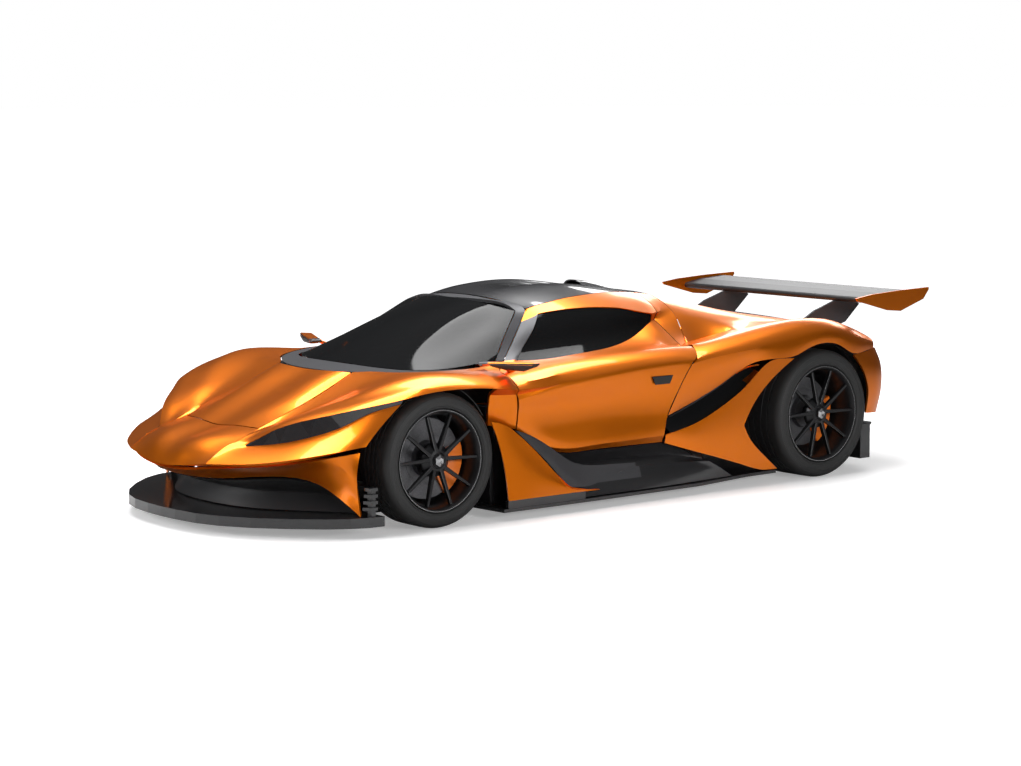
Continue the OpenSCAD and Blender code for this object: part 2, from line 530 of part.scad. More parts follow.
// Strip between the door's rear shut line and the clamshell, from shoulder to roof.
quarter_net = [for (i = [7:11]) let (
    from = door_net[i][7],
    to = [[-462, 846, 806], [-545, 700, 800], [-588, 580, 926], [-592, 500, 985],
        roof_edge[8]][i - 7]) [from, (from + to) / 2, to]];
deck_net = whole([
    [[-597, 0, 1040], [-670, 0, 1038], [-750, 0, 1022], [-860, 0, 996], [-970, 0, 970],
        [-1122, 0, 938], [-1240, 0, 917], [-1360, 0, 898], [-1488, 0, 879], [-1650, 0, 853],
        [-1850, 0, 818], [-2065, 0, 784]],
    [[-597, 172, 1053], [-670, 180, 1038], [-750, 190, 1020], [-860, 200, 994], [-970, 208, 968],
        [-1122, 214, 937], [-1240, 216, 916], [-1360, 216, 898], [-1488, 215, 879],
        [-1650, 214, 853], [-1848, 212, 817], [-2058, 208, 783]],
    shell_net[8]]);
// Engine cover hinges, under the strip of roof ahead of it; x is backwards, y is up.
cover_axis = real([-640, 0, 1014]);
cover_hinge_y = 150;
module cover_hinge() translate([cover_axis.x, real_y(cover_hinge_y), cover_axis.z])
    rotate([90, 0, 180]) rotate(0) children();
cover_arm = [[-7, 6], [-7, -32], [112, -32], [112, -2], [94, -2], [94, -18], [7, -18], [7, 6]];
deck_along = same(2, 11);
module rear_clamshell() color("darkorange") {
    both() {
        panel(shell_net, shell_across, shell_along, panel_t,
            [0, seam_gap / 2, shut_gap / 2, 0],
            slants = [edge_slant, edge_slant, shut_slant, edge_slant]);
        panel(quarter_net, [1, 1, 3, 2], [1, 1], panel_t,
            [seam_gap, seam_gap, shut_gap, seam_gap] / 2,
            slants = [edge_slant, edge_slant, shut_slant, edge_slant]);
    }
    panel(deck_net, same(2, 4), deck_along, panel_t,
        [seam_gap, seam_gap, shut_gap, 0] / 2, [], 0, [0, 4, 9, 11]);
}
module engine_cover() color("#202022") {
    panel(deck_net, same(2, 4), deck_along, panel_t, same(shut_gap, 4) / 2, [], 0, [0, 4, 1, 9],
        [edge_slant, edge_slant, shut_slant, edge_slant]);
    both() cover_hinge() hinge_arm(cover_arm);
}

// ---- Flanks and tail ---------------------------------------------------------------------
// The pod runs from the door back to a prong under and a prong over the arch's front.
pod_net = [
    [[-172, 944, 345], [-380, 960, 394], [-570, 970, 474], [-734, 980, 567], [-910, 990, 700],
        [-1109, 991, 701.4]],
    [[-172, 943, 336], [-368, 962, 362], [-535, 971, 412], [-660, 978, 462], [-775, 984, 520],
        [-893, 987, 568]],
    [[-172, 941, 324], [-350, 963, 318], [-480, 971, 328], [-580, 977, 338], [-655, 982, 346],
        [-722, 985, 352]],
    [[-172, 935, 298], [-340, 958, 247], [-511, 970, 197], [-690, 978, 143], [-860, 984, 92],
        [-982, 985, 87]]];
duct_net = [
    [[-240, 905, 430], [-345, 888, 455], [-590, 908, 560], [-780, 940, 662], [-860, 958, 672]],
    [[-260, 800, 400], [-380, 740, 420], [-600, 740, 510], [-780, 790, 600], [-865, 880, 655]],
    [[-240, 905, 350], [-385, 925, 372], [-575, 938, 450], [-738, 950, 542], [-850, 960, 640]]];
module side_pods() both() {
    color("darkorange") panel(pod_net, [2, 2, 3], same(3, 5), panel_t,
        [seam_gap / 2 + 4, 0, shut_gap / 2, 0],
        slants = [shut_slant, edge_slant, shut_slant, edge_slant]);
    color("#161618") panel(duct_net, [3, 3], same(3, 4), duct_t);
}

corner_net = [
    [[-1600, 974, 686], [-1735, 940, 694], [-1850, 895, 702], [-1932, 830, 694], [-1985, 740, 690]],
    [[-1700, 968, 575], [-1812, 945, 590], [-1902, 905, 602], [-1970, 840, 604], [-2016, 740, 602]],
    [[-1752, 955, 455], [-1842, 935, 458], [-1917, 900, 462], [-1978, 840, 465], [-2022, 740, 466]],
    [[-1757, 930, 330], [-1832, 912, 325], [-1897, 880, 320], [-1950, 830, 318], [-1992, 740, 318]]];
module rear_bumper() color("darkorange") both()
    panel(corner_net, [3, 3, 3], [2, 3, 3, 2], panel_t, [seam_gap / 2 + 2.5, 0, 0, seam_gap / 2]);

tail_net = whole([
    [[-2062, 0, 752], [-2072, 0, 700], [-2092, 0, 600], [-2098, 0, 470], [-2072, 0, 350]],
    [[-2050, 300, 750], [-2060, 300, 698], [-2080, 300, 600], [-2086, 300, 470], [-2060, 300, 350]],
    [[-1975, 738, 742], corner_net[0][4], corner_net[1][4], corner_net[2][4], corner_net[3][4]]]);
tail_sunk = 4;
module tail_panel() color("#19191a")
    panel(tail_net, same(3, 4), [1, 2, 2, 2], panel_t, [seam_gap, seam_gap, 0, 0] / 2, [], tail_sunk);

module tail_lights() color("firebrick") both()
    panel([for (row = tail_net) [row[1], row[1] * 0.7 + row[2] * 0.3]], same(3, 4), [1], lamp_t,
        [0, 12, 0, 0], [], tail_sunk - 4 * seat - lamp_t, [2, 4, 0, 1]);

// Plan outline of the splitter, left half.
splitter_half = [[2400, 0], [2396, 130], [2376, 290], [2330, 430], [2240, 580], [2110, 730],
    [1980, 850], [1880, 915], [1790, 950], [1705, 955]];
function flat(P) = [for (p = P) [real_x(p.x), real_y(p.y)]];
module plate(half, z, t) translate([0, 0, z]) linear_extrude(t) polygon(concat(
    flat(half), [for (i = [len(half) - 1:-1:0]) [flat(half)[i].x, -flat(half)[i].y]]));
module front_splitter() color("#141416") {
    plate(concat(splitter_half, [[1705, 640], [1800, 620]]), splitter_z, splitter_t);
    // Stacked slats behind each leg of the bumper, on a post.
    both() {
        for (i = [1:4]) translate([0, 0, splitter_z + splitter_t + i * slat_step])
            linear_extrude(slat_t) polygon(flat([[1812 - 4 * i, 912], [1785, 950], [1742, 950], [1742, 900]]));
        translate([0, 0, splitter_z + splitter_t - 1]) linear_extrude(4 * slat_step + slat_t)
            polygon(flat([[1780, 915], [1770, 935], [1745, 935], [1745, 905]]));
    }
}

// The chin hangs under the lip and ends in a leg on each side.
chin_net = whole([
    [[2368, 0, 300], [2330, 0, 280], [2300, 0, 262]],
    [[2356, 200, 308], [2312, 200, 286], [2280, 205, 264]],
    [[2326, 356, 330], [2262, 355, 300], [2224, 350, 270]],
    [[2182, 600, 350], [2105, 585, 325], [2050, 570, 290]],
    [[2045, 758, 378], [1985, 735, 340], [1935, 700, 262]],
    [[1922, 846, 402], [1880, 835, 330], [1850, 790, 180]],
    [[1808, 895, 420], [1835, 900, 300], [1815, 905, splitter_z + splitter_t + seat]]]);
module front_bumper() color("darkorange")
    panel(chin_net, same(2, 12), [2, 2], panel_t);

liner_z = splitter_z + splitter_t + 6;
// Black lining behind the chin: the back of the intakes down to the splitter.
liner_net = whole([
    [[2270, 0, 250], [2120, 0, 200], [2150, 0, liner_z]],
    [[2190, 350, 252], [2040, 330, 190], [2090, 360, liner_z]],
    [[2030, 560, 270], [1900, 520, 190], [1960, 570, liner_z]],
    [[1910, 690, 250], [1800, 650, 180], [1860, 700, liner_z]],
    [[1800, 790, 200], [1740, 750, 150], [1780, 810, liner_z]]]);
module intake_liner() color("#0f0f10")
    panel(liner_net, same(3, 8), [3, 3], duct_t, [0, 0, 0, 0]);

// ---- Skirts ------------------------------------------------------------------------------
fin_foot_z = 104;
module skirts() both() {
    color("#161618") panel([
        [[800, 900, 395], [620, 896, 312], [290, 898, 296], [0, 900, 294], [-200, 905, 292], [-330, 930, 240]],
        [[820, 870, 330], [640, 850, 255], [290, 845, 230], [0, 850, 225], [-220, 860, 225], [-420, 900, 200]],
        [[850, 880, 220], [660, 900, 190], [290, 925, 190], [0, 930, 190], [-240, 925, 185], [-520, 925, 165]],
        [[900, 957, 66.5], [690, 958, 66.5], [290, 958, 66], [0, 955, 66], [-300, 945, 66], [-700, 915, 66]]],
        [2, 2, 2], same(2, 5), panel_t);
    // Foot between the floor and the fin.
    color("#161618") translate([0, 0, floor_z + floor_t + seat])
        linear_extrude(fin_foot_z - floor_z - floor_t - 2 * seat)
            polygon(flat([[946, 984], [430, 986], [420, 960], [946, 960]]));
    color("#4a4a4c") panel([
        [[872, 936, 455], [775, 935, 428], [610, 938, 335], [470, 945, 245], [250, 945, 222], [40, 938, 212]],
        [[700, 962, 296], [640, 963, 280], [560, 965, 230], [450, 962, 190], [250, 955, 180], [40, 941, 196]],
        [[545, 986, 130], [520, 985, 122], [450, 982, 116], [380, 978, 116], [240, 965, 150], [40, 943, 186]]],
        [2, 2], [2, 2, 2, 2, 2], blade_t, [0, 11, seam_gap + 7, 0]);
}
module skirt_fins() color("darkorange") both() {
    panel([
        [[1014, 928, 510], [940, 932, 494], [872, 936, 455], [700, 962, 296], [545, 986, 130]],
        [[985, 940, 430], [925, 944, 410], [862, 950, 372], [700, 970, 245], [520, 988, 118]],
        [[955, 966, 270], [890, 970, 255], [810, 974, 240], [670, 982, 180], [480, 989, 110]],
        [[946, 986, fin_foot_z], [860, 987, fin_foot_z], [740, 988, fin_foot_z],
            [600, 989, fin_foot_z], [330, 989, fin_foot_z]]],
        [2, 2, 2], [2, 2, 2, 2], fin_t, [0, 0, 0, seam_gap + 4]);
}

// ---- Wing --------------------------------------------------------------------------------
wing_span = 1640;
wing_chord = 330;
wing_t = 34;
wing_nose = [-1960, 955];
wing_pitch = 8;
endplate_t = 8;
module wing_section() {
    nose_r = wing_t / 2;
    hull() {
        translate([-nose_r, 0]) circle(nose_r, $fn = 32);
        translate([-wing_chord * 0.4, nose_r * 0.35]) circle(nose_r * 0.9, $fn = 32);
        translate([-wing_chord + 3, nose_r * 0.2]) circle(3, $fn = 16);
    }
}
wing_x = real_x(wing_nose[0]);
wing_z = real_z(wing_nose[0], wing_nose[1]);
module wing_plane() color("#18181a")
    translate([wing_x, 0, wing_z]) rotate([90, 0, 0]) translate([0, 0, -wing_half])
        linear_extrude(2 * wing_half) rotate(-wing_pitch) wing_section();
wing_half = wing_span / 2 * body_w / (2 * drawn_half_w);
endplate = [[-1772, 986], [-1900, 1002], [-2128, 1015], [-2396, 1023], [-2400, 1010],
    [-2353, 955], [-2155, 893], [-2040, 903], [-1782, 970]];
module wing_endplates() color("darkorange") both()
    translate([0, wing_half + seat + endplate_t, 0]) rotate([90, 0, 0])
        linear_extrude(endplate_t) polygon([for (p = endplate) [real_x(p.x), real_z(p.x, p.y)]]);
pylon_y = 470;
pylon_t = 14;
pylon = [[-1680, 832], [-1800, 893], [-1975, 945], [-2120, 945], [-2178, 912], [-2060, 811], [-1960, 784],
    [-1850, 802], [-1760, 819]];
module wing_pylons() color("#3c3d40") both() difference() {
    translate([0, real_y(pylon_y) + pylon_t / 2, 0]) rotate([90, 0, 0])
        linear_extrude(pylon_t) polygon([for (p = pylon) [real_x(p.x), real_z(p.x, p.y)]]);
    translate([wing_x, 0, wing_z]) rotate([90, 0, 0]) translate([0, 0, -wing_half])
        linear_extrude(2 * wing_half) offset(seat) rotate(-wing_pitch) wing_section();
}

// ---- Wheels ---------------------------------------------------------------------------------
rim_wall = 9;
spoke_count = 5;
hub_r = 62;
spoke_t = 22;
stub_r = 30;
module tyre(d, w, rim_d) {
    r = d / 2;
    bead = rim_d / 2 - 2;
    rotate([90, 0, 0]) rotate_extrude($fn = 96) polygon([
        [bead, -w / 2 + 24], [bead + 10, -w / 2 + 21], [bead + 26, -w / 2 + 6],
        [(r + bead) / 2, -w / 2], [r - 22, -w / 2 + 8], [r - 5, -w / 2 + 26], [r, -w / 2 + 60],
        [r, w / 2 - 60], [r - 5, w / 2 - 26], [r - 22, w / 2 - 8], [(r + bead) / 2, w / 2],
        [bead + 26, w / 2 - 6], [bead + 10, w / 2 - 21], [bead, w / 2 - 24]]);
}
// Rim, hub, stub axle and brake disc, with the outer face towards +Y.
module wheel(w, rim_d, disc_d) {
    bead = rim_d / 2 - 2;
    face = w / 2 - 10;
    disc_y = -disc_inset;
    rotate([-90, 0, 0]) rotate_extrude($fn = 96) polygon([
        [bead - seat, -w / 2 + 20], [bead + 8, -w / 2 + 20], [bead + 8, -w / 2 + 10],
        [bead - rim_wall, -w / 2 + 10], [bead - rim_wall - 12, -w / 2 + 50],
        [bead - rim_wall - 12, face - 40], [bead - rim_wall, face], [bead + 8, face],
        [bead + 8, face - 10], [bead - seat, face - 10], [bead - seat, face - 24],
        [bead - 12, face - 50], [bead - 12, -w / 2 + 54]]);
    // Five spokes, each forked into two ends, from the hub to inside the barrel.
    for (i = [0:spoke_count - 1]) rotate([0, i * 360 / spoke_count, 0])
        translate([0, face - 16, 0]) rotate([90, 0, 0]) linear_extrude(spoke_t) polygon([
            [-18, hub_r - 12], [18, hub_r - 12], [14, bead * 0.5], [bead * 0.31, bead * 0.88],
            [bead * 0.25, bead * 0.92], [0, bead * 0.5 + 34], [-bead * 0.25, bead * 0.92],
            [-bead * 0.31, bead * 0.88], [-14, bead * 0.5]]);
    translate([0, face - 14, 0]) rotate([90, 0, 0]) cylinder(r = hub_r, h = spoke_t + 6, $fn = 64);
    translate([0, face - 12, 0]) rotate([90, 0, 0]) cylinder(r = 34, h = face - 12 - disc_y, $fn = 48);
    translate([0, disc_y, 0]) rotate([90, 0, 0]) cylinder(r = 90, h = 40, $fn = 64);
    translate([0, disc_y + disc_t / 2 - 20, 0]) rotate([90, 0, 0]) cylinder(r = disc_d / 2, h = disc_t, $fn = 96);
    translate([0, disc_y - 40, 0]) rotate([90, 0, 0]) cylinder(r = stub_r, h = stub_l, $fn = 48);
}
disc_inset = 10;
disc_t = 34;
stub_l = 70;
module at_front(s) translate([front_axle_x, s * front_tyre_y, front_r]) side(s) children();
module at_rear(s) translate([rear_axle_x, s * rear_tyre_y, rear_r]) side(s) children();
module front_left_wheel() color("#1a1a1c") at_front(1) wheel(front_tyre_w, front_rim_d, front_disc_d);
module front_right_wheel() color("#1a1a1c") at_front(-1) wheel(front_tyre_w, front_rim_d, front_disc_d);
module rear_left_wheel() color("#1a1a1c") at_rear(1) wheel(rear_tyre_w, rear_rim_d, rear_disc_d);
module rear_right_wheel() color("#1a1a1c") at_rear(-1) wheel(rear_tyre_w, rear_rim_d, rear_disc_d);
module front_left_tyre() color("#202020") at_front(1) tyre(front_tyre_d, front_tyre_w, front_rim_d);
module front_right_tyre() color("#202020") at_front(-1) tyre(front_tyre_d, front_tyre_w, front_rim_d);
module rear_left_tyre() color("#202020") at_rear(1) tyre(rear_tyre_d, rear_tyre_w, rear_rim_d);
module rear_right_tyre() color("#202020") at_rear(-1) tyre(rear_tyre_d, rear_tyre_w, rear_rim_d);

// ---- Uprights, brakes and arms ---------------------------------------------------------------
kingpin_y = -80;
kingpin_r = 12;
pin_play = 0.3;
boss_r = 24;
boss_z = 120;
boss_h = 40;
arm_t = 20;
housing_l = 50;
housing_y = -56;
caliper_from = -60;
caliper_to = 20;
brake_play = 5;
module caliper(disc_d) {
    r = disc_d / 2;
    back = -(disc_inset + 20 - disc_t / 2) - disc_t - brake_play;
    front = back + disc_t + 2 * brake_play;
    // The sector turns in the wheel's plane, measured from straight back.
    rotate([90, 0, 0]) rotate([0, 0, 180 - caliper_to]) rotate_extrude(angle = caliper_to - caliper_from, $fn = 96)
        polygon([[r - 85, -back + 20], [r + 20, -back + 20], [r + 20, -front - 22], [r - 85, -front - 22],
            [r - 85, -front], [r + brake_play, -front], [r + brake_play, -back], [r - 85, -back]]);
}
module upright(disc_d, pins) difference() {
    union() {
        translate([0, housing_y, 0]) rotate([90, 0, 0]) cylinder(r = 62, h = housing_l, $fn = 64);
        translate([-22, kingpin_y - 22, -boss_z - boss_h]) cube([44, 40, 2 * (boss_z + boss_h)]);
        for (z = [-boss_z - boss_h, boss_z])
            translate([0, kingpin_y, z]) cylinder(r = boss_r, h = boss_h, $fn = 48);
        translate([-120, housing_y - 16, -40]) cube([120, 16, 44]);
        caliper(disc_d);
    }
    translate([0, housing_y + 1, 0]) rotate([90, 0, 0]) cylinder(r = stub_r + pin_play, h = housing_l + 2, $fn = 64);
    if (pins) for (z = [-boss_z - boss_h - 1, boss_z - 1])
        translate([0, kingpin_y, z]) cylinder(r = kingpin_r + pin_play, h = boss_h + 2, $fn = 48);
}
module left_front_upright() color("#7a4a1a") at_front(1) upright(front_disc_d, true);
module right_front_upright() color("#7a4a1a") at_front(-1) upright(front_disc_d, true);

// A pair of arms from the tub out to the kingpin, one under and one over the upright.
module arms(in_y, wheel_y, spread, pins) {
    reach = wheel_y + kingpin_y - in_y;
    for (m = [-1, 1]) translate([0, kingpin_y, m * (boss_z + boss_h + seat + arm_t / 2) - arm_t / 2]) {
        linear_extrude(arm_t) difference() {
            polygon([[-boss_r, 0], [boss_r, 0], [spread, -reach], [-spread, -reach]]);
            polygon([[-boss_r - 6, -70], [boss_r + 6, -70], [spread - 46, -reach - 1], [-spread + 46, -reach - 1]]);
        }
        cylinder(r = boss_r, h = arm_t, $fn = 48);
        if (pins) translate([0, 0, m < 0 ? arm_t - 1 : -boss_h + 3]) cylinder(r = kingpin_r, h = boss_h - 2, $fn = 48);
    }
}
tub_front_y = 285;
module suspension() color("#505054") for (s = [-1, 1]) {
    at_front(s) arms(tub_front_y + seat, front_tyre_y, 150, true);
    at_rear(s) {
        upright(rear_disc_d, false);
        arms(engine_w / 2 + seat, rear_tyre_y, 150, false);
    }
}

// ---- Engine, floor, tub, cabin ------------------------------------------------------------------
engine_w = 560;
engine_l = 560;
engine_h = 480;
gearbox_l = 620;
gearbox_h = 330;
floor_z = 45;
floor_t = 17;
bulkhead_x = -575;
bin_front_x = 1790;
scuttle_z = 560;
scuttle_h = scuttle_z - seat - floor_z - floor_t;
bulkhead_t = 50;
engine_x = real_x(bulkhead_x) - seat - engine_l;
engine_z = floor_z + floor_t + 60;
module engine() color("#5d5f63") {
    translate([engine_x, -engine_w / 2, engine_z]) cube([engine_l, engine_w, engine_h]);
    translate([engine_x - gearbox_l, -engine_w / 2, engine_z])
        cube([gearbox_l + 1, engine_w, gearbox_h]);
}
floor_rear_x = -1720;
floor_half = [[1706, 0], [1706, 560], [1120, 560], [1000, 640], [975, 985], [700, 990], [300, 990],
    [-400, 978], [-820, 905], [-1060, 900], [-1120, 640], [floor_rear_x, 620], [floor_rear_x, 0]];
module chassis_tub() color("#19191b") {
    plate(floor_half, floor_z, floor_t);
    translate([0, 0, floor_z + floor_t]) {
        both() {
            // sill
            translate([real_x(-575), real_y(640), 0]) cube([real_x(930) - real_x(-575), real_y(170), 235]);
            // hinge pillar
            translate([real_x(862), real_y(440), 0])
                cube([real_x(920) - real_x(862), real_y(390), scuttle_h]);
            // footwell side
            translate([real_x(870), real_y(440), 0]) cube([real_x(1040) - real_x(870), 30, scuttle_h]);
            // luggage bin side
            translate([real_x(1060) - 30, tub_front_y - 30, 0])
                cube([real_x(bin_front_x) - real_x(1060) + 30, 30, 400]);
        }
        // front bulkhead
        translate([real_x(1040) - 1, -real_y(440) - 30, 0])
            cube([30, 2 * real_y(440) + 60, scuttle_h]);
        translate([real_x(bin_front_x) - 30, -tub_front_y, 0]) cube([30, 2 * tub_front_y, 340]);
        translate([real_x(1050), -tub_front_y, 0])
            cube([real_x(bin_front_x) - real_x(1050), 2 * tub_front_y, 120]);
    }
    // rear bulkhead, up to the roof
    translate([real_x(bulkhead_x), 0, 0]) rotate([90, 0, 90]) linear_extrude(bulkhead_t) polygon([
        for (s = [1, -1]) for (p = s > 0 ? bulkhead_half : [for (i = [len(bulkhead_half) - 1:-1:0]) bulkhead_half[i]])
            [s * real_y(p.x), real_z(bulkhead_x, p.y)]]);
}
bulkhead_half = [[690, 60], [714, 120], [714, 640], [700, 740], [560, 860], [480, 950], [330, 1012], [150, 1023]];

module seat_shape(y) translate([real_x(-60), real_y(y), floor_z + floor_t]) {
    for (m = [-1, 1]) translate([-180, m * 190 - 20, seat]) cube([480, 40, 70]);
    hull() {
        translate([-190, -230, 20]) cube([60, 460, 120]);
        translate([290, -225, 60]) cube([60, 450, 110]);
    }
    hull() {
        translate([-230, -230, 40]) cube([70, 460, 120]);
        translate([-400, -190, 640]) cube([70, 380, 60]);
    }
}
module seats() color("#2a2a2c") for (y = [-360, 360]) seat_shape(y);

dash_half_w = 600;
dash = [[700, scuttle_z], [640, 610], [650, 690], [760, 730], [930, 728], [960, 700], [960, scuttle_z]];
column_y = 360;
column_r = 16;
wheel_tilt = 22;
grip_r = 172;
hand_wheel = [540, 650];
module at_column() translate([real_x(hand_wheel[0]), real_y(column_y), real_z(hand_wheel[0], hand_wheel[1])])
    rotate([0, 90 + wheel_tilt, 0]) children();
module dashboard() color("#242426") difference() {
    translate([0, real_y(dash_half_w), 0]) rotate([90, 0, 0]) linear_extrude(2 * real_y(dash_half_w))
        polygon([for (p = dash) [real_x(p.x), real_z(p.x, p.y)]]);
    at_column() cylinder(r = column_r + 1, h = 400, $fn = 48);
}
module steering_wheel() color("#1c1c1e") at_column() {
    rotate_extrude($fn = 72) translate([grip_r, 0]) circle(14, $fn = 24);
    cylinder(r = 42, h = 40, $fn = 48);
    for (a = [0, 90, 180]) rotate(a + 90) translate([30, -14, 2]) cube([grip_r - 34, 28, 10]);
    cylinder(r = column_r, h = 200, $fn = 48);
}

// ---- Arch liners, diffuser, exhaust ---------------------------------------------------------------
liner_t = 4;
front_liner_r = front_r + 42;
module arch_liner(r, w, from, to) rotate([90, 0, 0]) rotate([0, 0, from])
    translate([0, 0, -w / 2]) rotate_extrude(angle = to - from, $fn = 96)
        translate([r, 0]) square([liner_t, w]);
module wheel_arch_liners() color("#121212") for (s = [-1, 1]) {
    translate([front_axle_x, s * (front_tyre_y - 60), front_r]) arch_liner(front_liner_r, 180, 25, 150);
    translate([rear_axle_x, s * (rear_tyre_y - 40), rear_r]) arch_liner(arch_r + 4, 230, 0, 180);
}
diffuser_t = 12;
module diffuser() color("#151517") {
    x0 = real_x(floor_rear_x) - seat;
    x1 = real_x(-2060);
    translate([0, real_y(700), 0]) rotate([90, 0, 0]) linear_extrude(2 * real_y(700)) polygon([
        [x0, floor_z], [x0, floor_z + floor_t], [x1, 220 + diffuser_t], [x1, 220]]);
    for (y = [-600, -360, -130, 130, 360, 600]) translate([0, real_y(y) + 4, 0]) rotate([90, 0, 0])
        linear_extrude(8) polygon([[x0, floor_z], [x1, 222], [x1 - 20, 140], [x1 + 60, 90], [x0 - 120, floor_z]]);
    both() translate([x0 - 120, real_y(690), 60]) cube([80, 200, 200]);
}
exhaust_r = 55;
exhaust_z = 292;
exhaust_x = real_x(-2110);
exhaust_l = engine_x - gearbox_l - seat - exhaust_x;
module exhaust() color("#6a6a6e") for (y = [-70, 70]) translate([exhaust_x, y, exhaust_z])
    rotate([0, 90, 0]) difference() {
        cylinder(r = exhaust_r, h = exhaust_l, $fn = 64);
        translate([0, 0, -1]) cylinder(r = exhaust_r - 3, h = exhaust_l - 50, $fn = 64);
    }

chassis_tub();
windscreen_frame();
front_splitter();
front_bumper();
intake_liner();
nose_panel();
front_wings();
headlights();
cowl();
windscreen();
roof_panel();
rear_clamshell();
side_pods();
rear_bumper();
tail_panel();
tail_lights();
diffuser();
exhaust();
skirts();
skirt_fins();
wheel_arch_liners();
wing_plane();
wing_endplates();
wing_pylons();
engine();
seats();
dashboard();
suspension();
bonnet();
engine_cover();
left_door();
right_door();
left_door_glass();
right_door_glass();
steering_wheel();
left_front_upright();
right_front_upright();
front_left_wheel();
front_right_wheel();
rear_left_wheel();
rear_right_wheel();
front_left_tyre();
front_right_tyre();
rear_left_tyre();
rear_right_tyre();
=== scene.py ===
import json
import math

import bmesh
import bpy
from mathutils import Matrix, Vector

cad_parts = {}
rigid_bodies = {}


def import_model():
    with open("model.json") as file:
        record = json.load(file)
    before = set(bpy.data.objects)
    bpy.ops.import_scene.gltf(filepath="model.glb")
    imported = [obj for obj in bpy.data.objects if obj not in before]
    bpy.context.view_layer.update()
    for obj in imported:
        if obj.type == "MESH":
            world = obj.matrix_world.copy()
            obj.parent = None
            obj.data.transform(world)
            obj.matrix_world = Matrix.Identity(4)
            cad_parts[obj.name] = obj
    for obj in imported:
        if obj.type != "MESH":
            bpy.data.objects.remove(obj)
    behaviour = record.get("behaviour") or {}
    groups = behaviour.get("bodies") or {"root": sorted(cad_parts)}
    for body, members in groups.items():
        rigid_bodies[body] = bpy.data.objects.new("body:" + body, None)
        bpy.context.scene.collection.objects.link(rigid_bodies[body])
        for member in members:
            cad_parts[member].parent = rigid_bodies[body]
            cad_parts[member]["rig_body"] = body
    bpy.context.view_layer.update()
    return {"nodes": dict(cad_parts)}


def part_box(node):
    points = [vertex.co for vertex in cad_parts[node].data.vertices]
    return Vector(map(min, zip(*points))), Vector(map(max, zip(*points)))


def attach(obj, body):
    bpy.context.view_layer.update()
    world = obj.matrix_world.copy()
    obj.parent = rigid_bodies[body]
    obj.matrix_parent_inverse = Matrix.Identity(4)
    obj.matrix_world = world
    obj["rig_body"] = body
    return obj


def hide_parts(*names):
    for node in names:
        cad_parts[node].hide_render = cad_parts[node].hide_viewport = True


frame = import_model()
nodes = frame["nodes"]

# ---- Studio -------------------------------------------------------------------
# A pale floor under a wide white sweep. For the camera the floor glows, a painted light, and the glow is
# weaker round the car, a painted shade. Large soft lamps hang over the car and beside it, and the
# surroundings are dark low down, which gives the paint its depth.

scene = bpy.context.scene
scene.view_settings.view_transform = "Standard"

camera_data = bpy.data.cameras.new("camera")
camera_data.sensor_width = 36.0
camera_data.lens = 87.19
CAMERA_PITCH, CAMERA_HEADING = -6.658, 140.84
camera = bpy.data.objects.new("camera", camera_data)
scene.collection.objects.link(camera)
camera.location = (8.7848, 10.6242, 2.1592)
camera.rotation_euler = (math.radians(90 + CAMERA_PITCH), 0, math.radians(CAMERA_HEADING))
scene.camera = camera

world = bpy.data.worlds.new("studio")
scene.world = world
world.use_nodes = True
tree = world.node_tree
tree.nodes.clear()
spot = tree.nodes.new("ShaderNodeTexCoord")
parts = tree.nodes.new("ShaderNodeSeparateXYZ")
band = tree.nodes.new("ShaderNodeValToRGB")
band.color_ramp.elements[0].position = 0.0
band.color_ramp.elements[0].color = (0.03, 0.03, 0.03, 1)
band.color_ramp.elements[1].position = 1.0
band.color_ramp.elements[1].color = (0.35, 0.35, 0.36, 1)
low = band.color_ramp.elements.new(0.12)
low.color = (0.03, 0.03, 0.031, 1)
high = band.color_ramp.elements.new(0.45)
high.color = (0.055, 0.055, 0.058, 1)
around = tree.nodes.new("ShaderNodeBackground")
white = tree.nodes.new("ShaderNodeBackground")
white.inputs["Color"].default_value = (1, 1, 1, 1)
seen = tree.nodes.new("ShaderNodeLightPath")
mixed = tree.nodes.new("ShaderNodeMixShader")
world_out = tree.nodes.new("ShaderNodeOutputWorld")
tree.links.new(spot.outputs["Generated"], parts.inputs[0])
tree.links.new(parts.outputs["Z"], band.inputs["Fac"])
tree.links.new(band.outputs["Color"], around.inputs["Color"])
tree.links.new(seen.outputs["Is Camera Ray"], mixed.inputs[0])
tree.links.new(around.outputs[0], mixed.inputs[1])
tree.links.new(white.outputs[0], mixed.inputs[2])
tree.links.new(mixed.outputs[0], world_out.inputs[0])


def lamp(name, place, aim, size, size_y, watts):
    data = bpy.data.lights.new(name, "AREA")
    data.shape = "RECTANGLE"
    data.size = size
    data.size_y = size_y
    data.energy = watts
    obj = bpy.data.objects.new(name, data)
    scene.collection.objects.link(obj)
    obj.location = place
    obj.rotation_euler = (Vector(aim) - Vector(place)).to_track_quat("-Z", "Y").to_euler()
    obj.visible_camera = False


lamp("overhead", (0.2, -0.6, 5.0), (0.2, -0.2, 0), 6.5, 3.6, 560)
lamp("front", (8.5, -1.5, 3.2), (1.5, 0, 0.6), 3.0, 2.4, 330)
lamp("left_side", (0.5, 9.5, 2.6), (0, 0, 0.5), 7.0, 1.2, 420)
lamp("behind", (-7.0, -3.0, 3.4), (-1, 0, 0.6), 5.0, 2.0, 150)


def finish(name, colour, roughness, metallic=0.0, coat=0.0):
    mat = bpy.data.materials.new(name)
    mat.use_nodes = True
    shader = mat.node_tree.nodes["Principled BSDF"]
    shader.inputs["Base Color"].default_value = (*colour, 1)
    shader.inputs["Roughness"].default_value = roughness
    shader.inputs["Metallic"].default_value = metallic
    shader.inputs["Coat Weight"].default_value = coat
    shader.inputs["Coat Roughness"].default_value = 0.03
    return mat, shader


